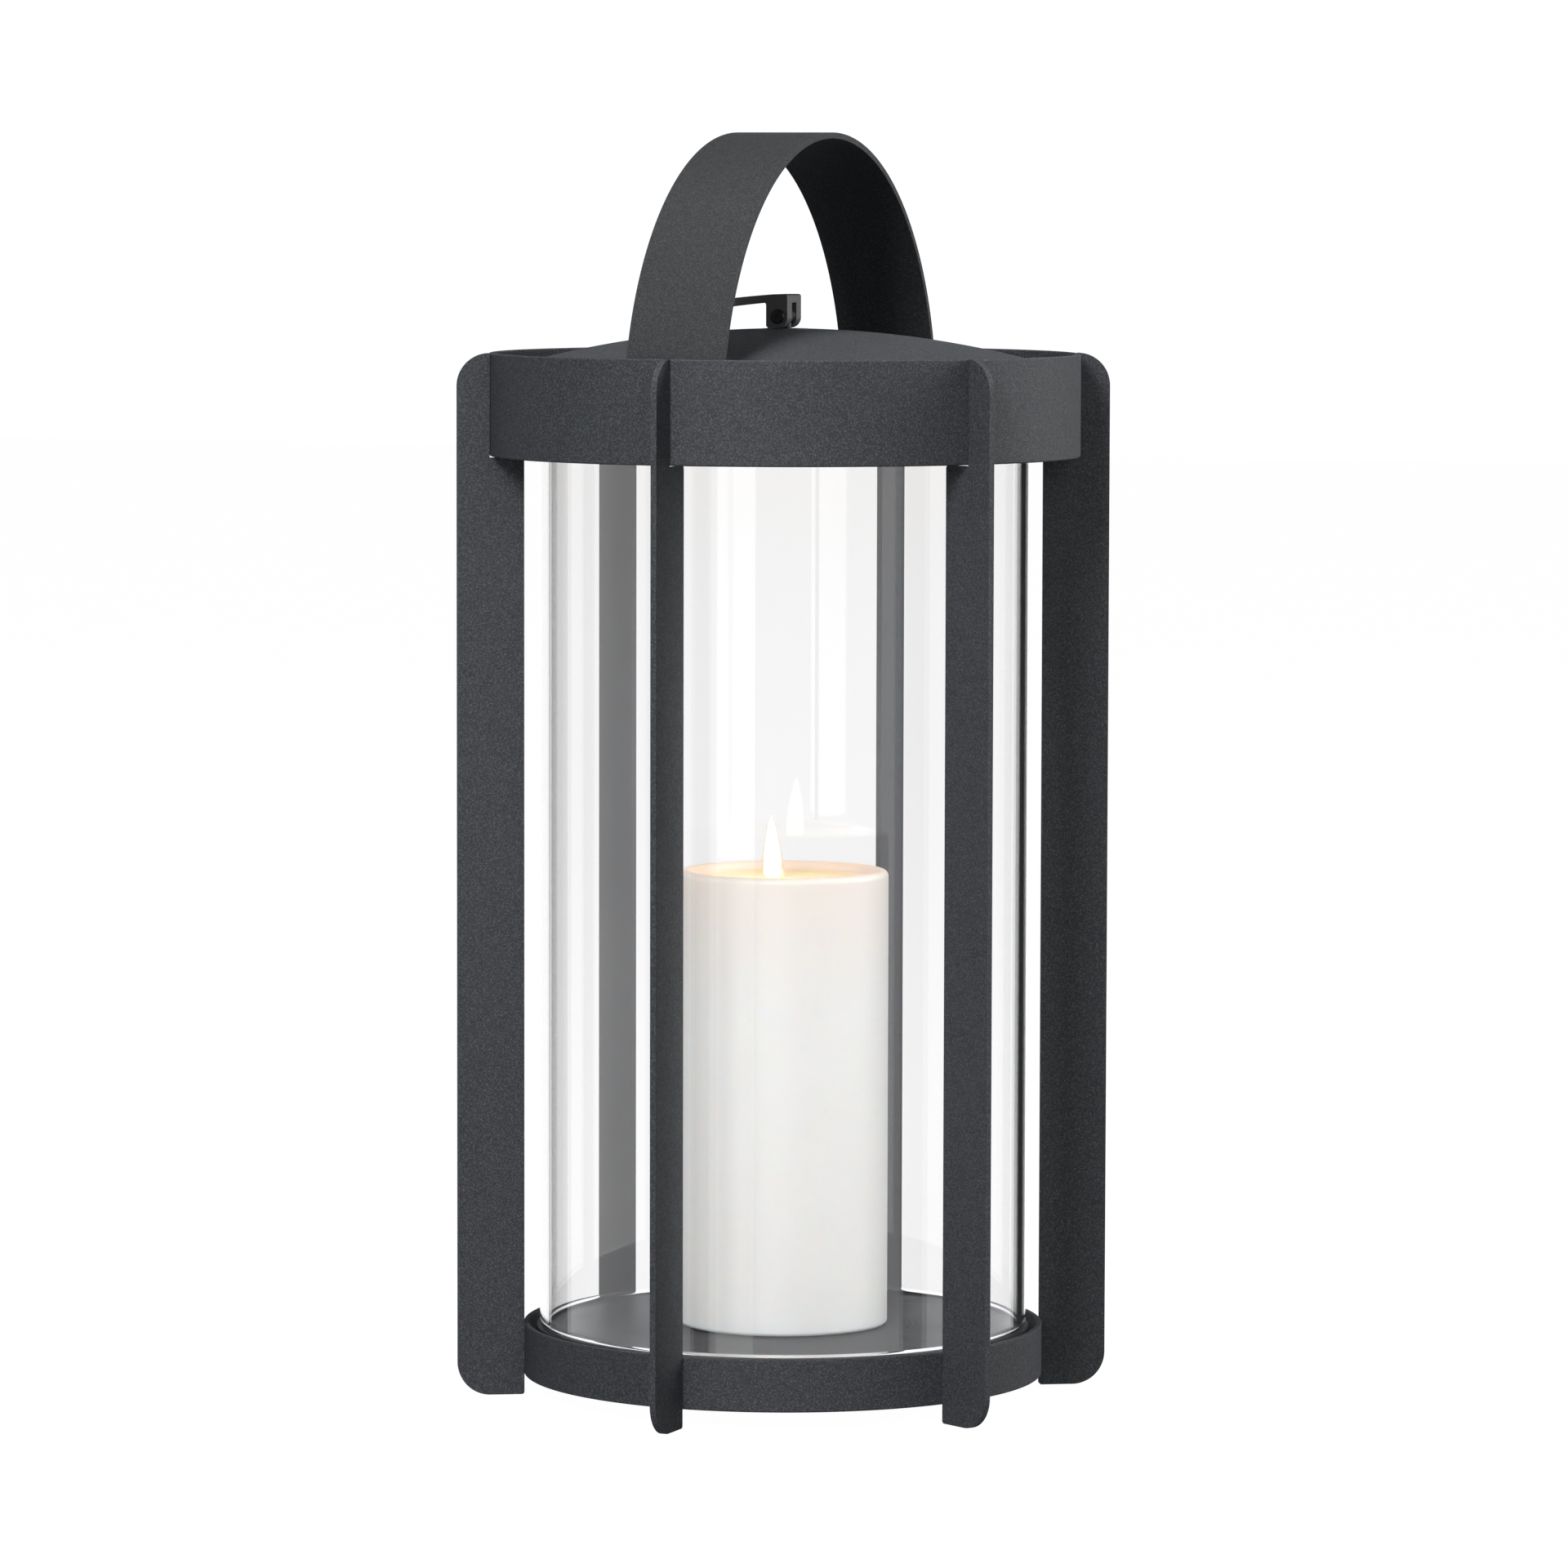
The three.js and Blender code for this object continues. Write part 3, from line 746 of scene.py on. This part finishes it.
def build_candle(wax):
    """Pillar with a rounded foot and rim, a bank down to a shallow pool, and the wick's bore."""
    low, top = CANDLE_LOW.z, CANDLE_HIGH.z
    r = CANDLE_R
    foot, rim = CANDLE_FOOT_EDGE, CANDLE_RIM_EDGE
    keep = 0.3 * MM
    outline = [(CANDLE_BORE, low)]
    outline += arc(r - foot, low + foot, foot, -90, 0, 6)
    outline += [(r, low + foot + keep), (r, top - rim - keep)]
    outline += arc(r - rim, top - rim, rim, 0, 100, 12)
    outline += [
        (r - 4.6 * MM, top - 0.35 * MM),
        (r - 6.2 * MM, top - 1.3 * MM),
        (r - 7.6 * MM, top - 2.3 * MM),
        (r - 9.4 * MM, top - 2.95 * MM),
        (r - 12 * MM, top - 3.25 * MM),
        (r - 20 * MM, POOL_Z),
        (6 * MM, POOL_Z),
        (2.4 * MM, top - 3.2 * MM),
        (CANDLE_BORE, top - 2.9 * MM),
    ]
    pillar = turned("pillar_candle", outline, wax, 160, 60.0)
    dress(pillar, "candle", "candle")


def strand_rings(bm, strand, low, high):
    """One of three strands: it turns round the others, thins and leans over above the pool."""
    steps, sides = 220, 8
    twist_r, strand_r, pitch = 0.36 * MM, 0.46 * MM, 0.75 * MM
    rings = []
    for i in range(steps + 1):
        z = low + (high - low) * i / steps
        lean = max(0.0, (z - POOL_Z) / (high - POOL_Z))
        phase = 2 * math.pi * strand / 3 + (z - low) / pitch
        twist = Vector((twist_r * math.cos(phase), twist_r * math.sin(phase), z))
        middle = LEAN_DIRECTION * (WICK_LEAN * lean ** 1.5) + twist
        rings.append(add_ring(bm, middle, strand_r * (1 - 0.35 * lean), sides))
    return rings


def build_wick(cotton):
    """Three-strand braid through the whole candle, leaning over above the melt pool."""
    bm = bmesh.new()
    for strand in range(3):
        skin(bm, strand_rings(bm, strand, CANDLE_LOW.z + 0.6 * MM, WICK_HIGH.z - 0.8 * MM))
    wick = mesh_object("braided_wick", bm, cotton, 60.0)
    dress(wick, "candle", "wick")


def flame_shell(name, radius, height, light):
    """Upright cone round the leaning wick, with full sides, a rounded foot and a soft point."""
    bm = bmesh.new()
    steps, sides = 40, 32
    rings = []
    for i in range(steps + 1):
        t = i / steps
        foot = min(1.0, t / 0.06)
        width = radius * math.sqrt(1 - (1 - foot) ** 2 * 0.5) * (1 - t ** 1.9) ** 0.85
        width = max(width, 0.05 * MM)
        drift = LEAN_DIRECTION * (0.6 * MM * t)
        middle = FLAME_BASE + drift + Vector((0, 0, height * t))
        rings.append(add_ring(bm, middle, width, sides))
    skin(bm, rings)
    flame = mesh_object(name, bm, light, 80.0)
    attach(flame, "candle")
    return flame


def build_flame(core, mantle):
    flame_shell("flame_core", FLAME_R, FLAME_HEIGHT, core)
    veil = flame_shell("flame_mantle", FLAME_R + VEIL, FLAME_HEIGHT + 1.5 * VEIL, mantle)
    veil.data.transform(Matrix.Translation((0, 0, -0.2 * MM)))


def dome_height(r, sink=0.0):
    """Height of the dome at radius r, on its outside or sunk by sink below it."""
    big = DOME_R - sink
    return DOME_TOP - DOME_R + math.sqrt(big * big - r * r)


def dome_line(start, end, sink=0.0):
    """Points along the dome from radius start to radius end."""
    steps = 24
    out = []
    for i in range(steps + 1):
        r = start + (end - start) * (i / steps)
        out.append((r, dome_height(r, sink)))
    return out


def lid_outline():
    """Lid section: seat, dome, rolled shoulder and skirt, first along the inside, then back outside."""
    wall = LID_R - LID_T
    low = LID_LOW.z
    ease = 0.3 * MM
    shoulder = dome_height(LID_R) - 0.9 * MM
    seat_under = SEAT_Z - LID_T
    out = [(STUD_HOLE_R, seat_under), (SEAT_R + 0.2 * MM, seat_under)]
    out += dome_line(SEAT_R + 1.2 * MM, wall - 1.2 * MM, LID_T)
    out += [(wall, shoulder - LID_T), (wall, low + ease)]
    out += [(wall + ease, low), (LID_R - ease, low), (LID_R, low + ease)]
    out += [(LID_R, shoulder - 0.8 * MM), (LID_R - 0.35 * MM, shoulder + 0.1 * MM)]
    out += reversed(dome_line(SEAT_R + 1.0 * MM, LID_R - 1.6 * MM))
    out += [(SEAT_R + 0.4 * MM, SEAT_Z + 0.35 * MM), (SEAT_R - 0.4 * MM, SEAT_Z)]
    out += [(STUD_HOLE_R, SEAT_Z)]
    return out


def cut_notches(lid, coat):
    """Openings in both sides of the skirt for the spring's ends."""
    for side in (-1, 1):
        near, far = side * (LID_R - 6 * MM), side * (LID_R + 6 * MM)
        low = (min(near, far), -NOTCH_HALF, LID_LOW.z - 5 * MM)
        high = (max(near, far), NOTCH_HALF, NOTCH_TOP)
        cut(lid, block("notch_tool", low, high, coat))


def cut_rivet_holes(obj, hole_r, reach, coat):
    """Two bores along Y, right through a piece that reaches out to the radius reach."""
    for x in (-RIVET_X, RIVET_X):
        cut(obj, cross_bar("rivet_tool", hole_r, 2.4 * reach, (x, 0, RIVET_Z), coat, 32))


def build_lid(coat):
    """Pressed dome with a sunk seat, rolled shoulder and notched skirt."""
    lid = turned("lid_dome", lid_outline(), coat, 192)
    cut_notches(lid, coat)
    cut_rivet_holes(lid, RIVET_HOLE_LID, LID_R, coat)
    shade(lid.data, 35)
    dress(lid, "lid", "lid")


def build_handle(coat):
    """Strap bent to a half round with straight legs."""
    inner = HANDLE_R - SHEET
    low = HANDLE_LOW.z
    outline = [(inner, low), (HANDLE_R, low)]
    outline += arc(0, HANDLE_ZC, HANDLE_R, 0, 180, 96)
    outline += [(-HANDLE_R, low), (-inner, low)]
    outline += arc(0, HANDLE_ZC, inner, 180, 0, 96)
    strap = slab("handle_strap", outline, HANDLE_WIDTH, IN_YZ, coat, 30.0)
    cut_rivet_holes(strap, RIVET_HOLE_HANDLE, HANDLE_R, coat)
    soften(strap, SHEET_EDGE)
    shade(strap.data, 30)
    dress(strap, "lid", "handle")


def arm_height(x):
    """Height above the pin of the arm's upper face, x along from the arm's start."""
    return 8.4 * MM - 0.075 * x - 1.2 * x * x


def arm_line(steps, sink=0.0):
    """Points along the arm at the given steps of twenty, on its upper face or sunk below it."""
    out = []
    for i in steps:
        x = ARM_START + ARM_REACH * i / 20
        out.append((-x, arm_height(x - ARM_START) - sink))
    return out


def cam_line():
    """Cam about the pin: its radius shrinks evenly over a quarter turn."""
    steps = 24
    out = []
    for i in range(steps + 1):
        turn = math.pi / 2 * i / steps
        r = CAM_R - CAM_DROP * i / steps
        out.append((r * math.sin(turn), -r * math.cos(turn)))
    return out


def lever_outline():
    """Cam block and arm in X and Z about the pin."""
    front = CAM_R - CAM_DROP
    tip = ARM_START + ARM_REACH
    tip_z = arm_height(ARM_REACH) - ARM_THICKNESS / 2
    tip_r, elbow_r, corner_r = 1.3 * MM, 1.2 * MM, 1.0 * MM
    elbow_z = arm_height(BLOCK_BACK - ARM_START) - ARM_THICKNESS - elbow_r
    corner_z = 7.4 * MM
    ease = 0.8 * MM
    out = [(ease - BLOCK_BACK, -CAM_R)]
    out += cam_line()
    out += arc(front - corner_r, corner_z, corner_r, 0, 90, 6)
    out += arm_line(range(21))
    out += arc(-tip, tip_z, tip_r, 108, 243, 8)
    out += arm_line(range(19, 1, -1), ARM_THICKNESS)
    out += arc(-BLOCK_BACK - elbow_r, elbow_z, elbow_r, 90, 0, 5)
    out += [(-BLOCK_BACK, ease - CAM_R)]
    return out


def build_lever(plastic):
    """Cam block slotted for the stud's eye and bored for the pin, with a flat arm."""
    lift = Matrix.Translation((0, 0, PIN_Z))
    width = LEVER_HIGH.y - LEVER_LOW.y
    lever = slab("lever_body", lever_outline(), width, lift @ IN_XZ, plastic)
    slot_back, slot_top, clear = 3.9 * MM, 5.2 * MM, 20 * MM
    bore_length = 30 * MM
    low = (-slot_back, -SLOT_HALF, PIN_Z - clear)
    high = (clear, SLOT_HALF, PIN_Z + slot_top)
    cut(lever, block("slot_tool", low, high, plastic))
    bore = cross_bar("bore_tool", LEVER_BORE_R, bore_length, (0, 0, PIN_Z), plastic, 40)
    cut(lever, bore)
    soften(lever, 0.35 * MM)
    shade(lever.data, 35)
    dress(lever, "lever", "latch_lever")


def pin_outline():
    """Half section of the pin along its length: a recessed head, a shank and a plain head."""
    end = PIN_HIGH.y
    neck = end - 1.0 * MM
    recess = 0.7 * MM
    edge_r = 0.5 * MM
    edge_x = PIN_HEAD_R - edge_r
    out = [(0, recess - end), (1.15 * MM, recess - end), (1.3 * MM, -end), (2.1 * MM, -end)]
    out += arc(edge_x, edge_r - end, edge_r, -80, 0, 4)
    out += [(PIN_HEAD_R, -neck), (SHANK_R, -neck), (SHANK_R, neck), (PIN_HEAD_R, neck)]
    out += arc(edge_x, end - edge_r, edge_r, 0, 80, 4)
    out += [(1.2 * MM, end), (0, end)]
    return out


def build_pin(steel):
    pin = turned("lever_pin_turned", pin_outline(), steel, 48)
    lay_along_y = Matrix.Rotation(math.radians(-90), 4, "X")
    pin.data.transform(Matrix.Translation((0, 0, PIN_Z)) @ lay_along_y)
    dress(pin, "lever", "lever_pin")


def build_washer(plastic):
    section = rounded_hoop(
        STUD_HOLE_R, WASHER_HIGH.x, WASHER_LOW.z, WASHER_HIGH.z, 0.2 * MM, 3
    )
    washer = turned("cam_washer", section, plastic, 72)
    dress(washer, "lid", "latch_washer")


def finish_cad_nodes(coat, sheet, steel, dark_steel, rubber):
    """Carried-over CAD nodes keep their shape and take a procedural finish."""
    finishes = {
        "base_tab": sheet,
        "handle_rivet": coat,
        "latch_stud": dark_steel,
        "latch_nut": steel,
        "clamp_spring": steel,
        "clamp_pad": rubber,
    }
    for name, obj in frame["nodes"].items():
        for prefix, material in finishes.items():
            if name.startswith(prefix):
                obj.data.materials.clear()
                obj.data.materials.append(material)


# ---------------------------------------------------------------- stage, lights and camera

def area_light(name, place, size, power, seen_in_glass=False):
    """Soft box turned toward the lantern's middle; size is its width and height in metres."""
    data = bpy.data.lights.new(name, "AREA")
    data.shape = "RECTANGLE"
    data.size, data.size_y = size
    data.energy = power
    obj = bpy.data.objects.new(name, data)
    bpy.context.scene.collection.objects.link(obj)
    obj.location = place
    obj.rotation_mode = "QUATERNION"
    obj.rotation_quaternion = (LIGHT_TARGET - place).to_track_quat("-Z", "Y")
    obj.visible_camera = False
    obj.visible_transmission = seen_in_glass
    return obj


def build_stage():
    """Wide floor a hair below the feet."""
    half_width, drop = 9.0, 0.4 * MM
    bm = bmesh.new()
    bmesh.ops.create_grid(bm, x_segments=1, y_segments=1, size=half_width)
    floor = mesh_object("studio_floor", bm, studio_floor())
    floor.location.z = -drop
    floor.visible_diffuse = False
    floor.visible_glossy = False


def build_world():
    """White room for the camera and in clear glass; a dimmer, softer sky for everything else."""
    world = bpy.data.worlds.new("studio")
    world.use_nodes = True
    w = Nodes(world.node_tree)
    back = w.tree.nodes["Background"]
    back.inputs["Color"].default_value = colour(0.955, 0.975, 1.0)
    direction = w.new("ShaderNodeTexCoord").outputs["Generated"]
    toward_backdrop = w.new("ShaderNodeVectorMath", operation="DOT_PRODUCT")
    w.link(direction, toward_backdrop.inputs[0])
    toward_backdrop.inputs[1].default_value = -around(0, 1, 0)
    split = w.new("ShaderNodeSeparateXYZ")
    w.link(direction, split.inputs[0])
    height = split.outputs["Z"]
    path = w.new("ShaderNodeLightPath")
    low_sky = w.span(toward_backdrop.outputs["Value"], -0.6, 0.8, 0.18, 0.26)
    sky = w.blend(w.span(height, 0.25, 0.75), low_sky, ZENITH)
    soft = w.blend(w.span(height, -0.05, 0.05), BELOW_HORIZON, sky)
    seen_in_glass = w.blend(path.outputs["Is Singular Ray"], soft, ROOM_IN_GLASS)
    w.link(w.blend(path.outputs["Is Camera Ray"], seen_in_glass, BACKDROP), back.inputs["Strength"])
    bpy.context.scene.world = world


def around(side, toward, height):
    """A point given to the right of and toward the camera, seen from the lantern."""
    right = Vector((math.cos(VIEW_AZIMUTH), math.sin(VIEW_AZIMUTH), 0))
    front = Vector((math.sin(VIEW_AZIMUTH), -math.cos(VIEW_AZIMUTH), 0))
    return right * side + front * toward + Vector((0, 0, height))


def build_lights():
    area_light("key_left", around(-0.74, 2.05, 1.6), (0.5, 0.9), 53)
    area_light("strip_card", around(-0.90, 2.2, 0.45), (0.75, 2.6), 9, seen_in_glass=True)
    area_light("rim_right", around(1.5, -0.3, 0.85), (0.4, 1.3), 23)
    area_light("fill_right", around(0.75, 2.2, 0.9), (0.9, 1.2), 12)
    back = area_light("back_soft", around(0.3, -2.0, 1.8), (1.0, 1.0), 10)
    back.visible_glossy = False
    area_light("top", around(-0.1, 0.1, 1.75), (0.30, 0.30), 13)
    build_flame_lamp()


def build_flame_lamp():
    """Small warm lamp in the flame, lighting the rim and pool without being seen itself."""
    lamp = bpy.data.lights.new("flame_lamp", "POINT")
    lamp.energy = 0.012
    lamp.shadow_soft_size = 0.004
    lamp.color = (1.0, 0.55, 0.22)
    obj = bpy.data.objects.new("flame_lamp", lamp)
    bpy.context.scene.collection.objects.link(obj)
    obj.location = FLAME_BASE + Vector((0, 0, 12 * MM))
    obj.visible_camera = False
    obj.visible_glossy = False
    obj.visible_transmission = False
    obj.parent = frame["bodies"]["candle"]


def build_camera():
    """Long lens about level with the top of the handle, looking slightly down."""
    data = bpy.data.cameras.new("camera")
    data.sensor_width = 36.0
    data.lens = 174.3
    data.clip_start = 0.1
    data.clip_end = 60.0
    obj = bpy.data.objects.new("camera", data)
    bpy.context.scene.collection.objects.link(obj)
    azimuth, pitch, roll = math.radians(22.55), math.radians(-4.64), math.radians(0.14)
    distance, height = 2.885, 0.467
    obj.location = (math.sin(azimuth) * distance, -math.cos(azimuth) * distance, height)
    facing = (
        Matrix.Rotation(azimuth, 3, "Z")
        @ Matrix.Rotation(math.radians(90) + pitch, 3, "X")
        @ Matrix.Rotation(roll, 3, "Z")
    )
    obj.rotation_mode = "QUATERNION"
    obj.rotation_quaternion = facing.to_quaternion()
    bpy.context.scene.camera = obj


def build():
    coat = powder_coat()
    sheet = base_sheet()
    steel = ground_steel()
    dark_steel = black_steel()
    plastic = black_plastic()
    build_bands(coat)
    build_base_plate(sheet)
    build_uprights(coat)
    build_glass(lantern_glass())
    build_candle(candle_wax())
    build_wick(wick_cotton())
    build_flame(flame_core(), flame_mantle())
    build_lid(coat)
    # painted shade: the handle takes a copy of the powder coat darkened to 0.52, so it reads darker
    # than the bands under the same lights
    build_handle(powder_coat("handle_coat_painted_shade", 0.52))
    build_lever(plastic)
    build_pin(dark_steel)
    build_washer(plastic)
    finish_cad_nodes(coat, sheet, steel, dark_steel, pad_rubber())
    build_stage()
    build_world()
    build_lights()
    build_camera()
    bpy.context.scene.view_settings.view_transform = "Standard"


build()
